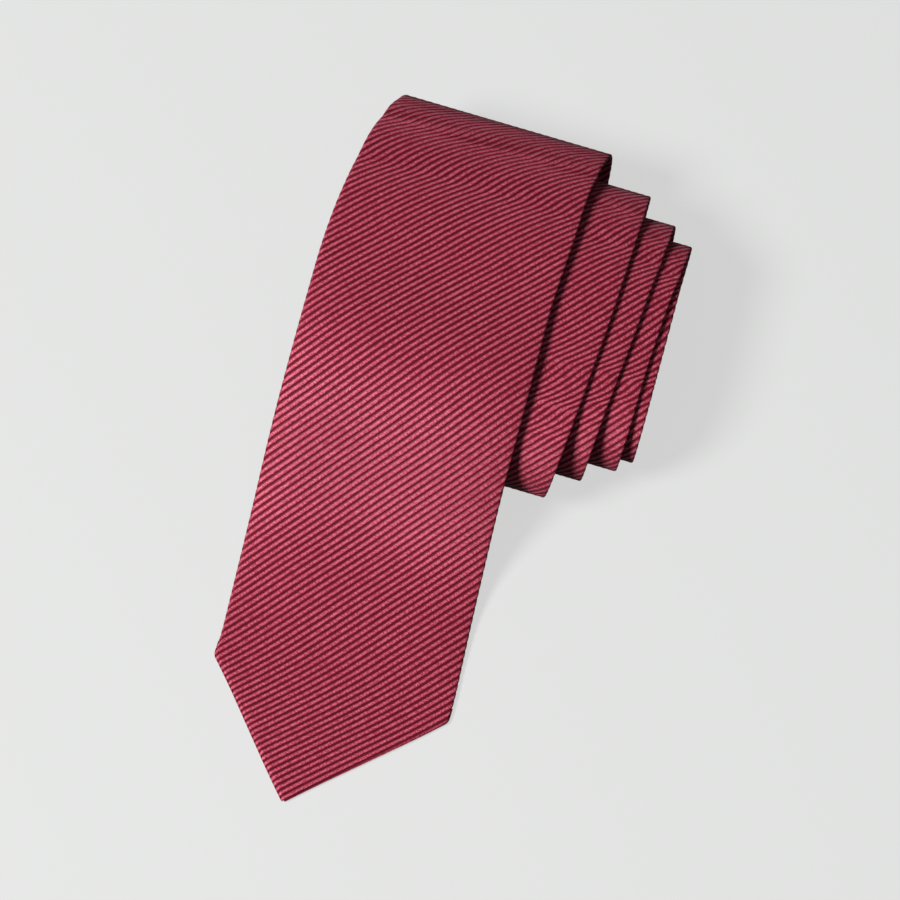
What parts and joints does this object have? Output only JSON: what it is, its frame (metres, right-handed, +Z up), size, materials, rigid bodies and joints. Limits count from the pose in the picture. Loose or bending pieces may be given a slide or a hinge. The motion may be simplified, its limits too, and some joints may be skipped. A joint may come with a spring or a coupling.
{
  "type": "necktie",
  "caption": "Slim pointed necktie of diagonal-rib silk, wound into a flat stepped roll with its front blade left free and lying flat.",
  "frame": {"origin": "on the surface the tie lies on, under the middle of its bounding box", "axes": "+Z up from that surface; +Y along the blade from its point towards the far fold of the roll; +X across the tie, towards the side that the inner turns step out to"},
  "size_m": [0.091, 0.1958, 0.0349],
  "materials": {
    "silk_rib": "wine-red silk with a raised diagonal rib and a soft sheen",
    "interlining": "brushed off-white wool blend",
    "satin_lining": "smooth dark wine satin",
    "thread": "wine-red sewing thread"
  },
  "bodies": {
    "roll": {"rolled_blade_shell": "silk_rib", "neck_shell": "silk_rib", "tail_shell": "silk_rib", "rolled_interlining": "interlining", "tail_lining": "satin_lining", "tail_lining_stitch": "thread", "rolled_slip_stitch": "thread", "tail_bar_tack": "thread", "front_neck_seam": "thread", "neck_tail_seam": "thread"},
    "blade": {"blade_shell": "silk_rib", "blade_interlining": "interlining", "blade_lining": "satin_lining", "blade_lining_stitch": "thread", "blade_slip_stitch": "thread", "front_bar_tack": "thread", "keeper_loop": "silk_rib", "keeper_tacks": "thread"},
    "tip": {"tip_shell": "silk_rib", "tip_interlining": "interlining", "tip_lining": "satin_lining", "tip_lining_stitch": "thread"}
  },
  "joints": [
    {"name": "blade_lift", "type": "hinge", "parent": "roll", "child": "blade", "pos_m": [-0.01, 0.04608, 0.03491], "axis": [-1, 0, 0], "range_deg": [0, 115]},
    {"name": "tip_lift", "type": "hinge", "parent": "blade", "child": "tip", "pos_m": [-0.01, -0.05092, 0.00144], "axis": [-1, 0, 0], "range_deg": [0, 70]}
  ]
}
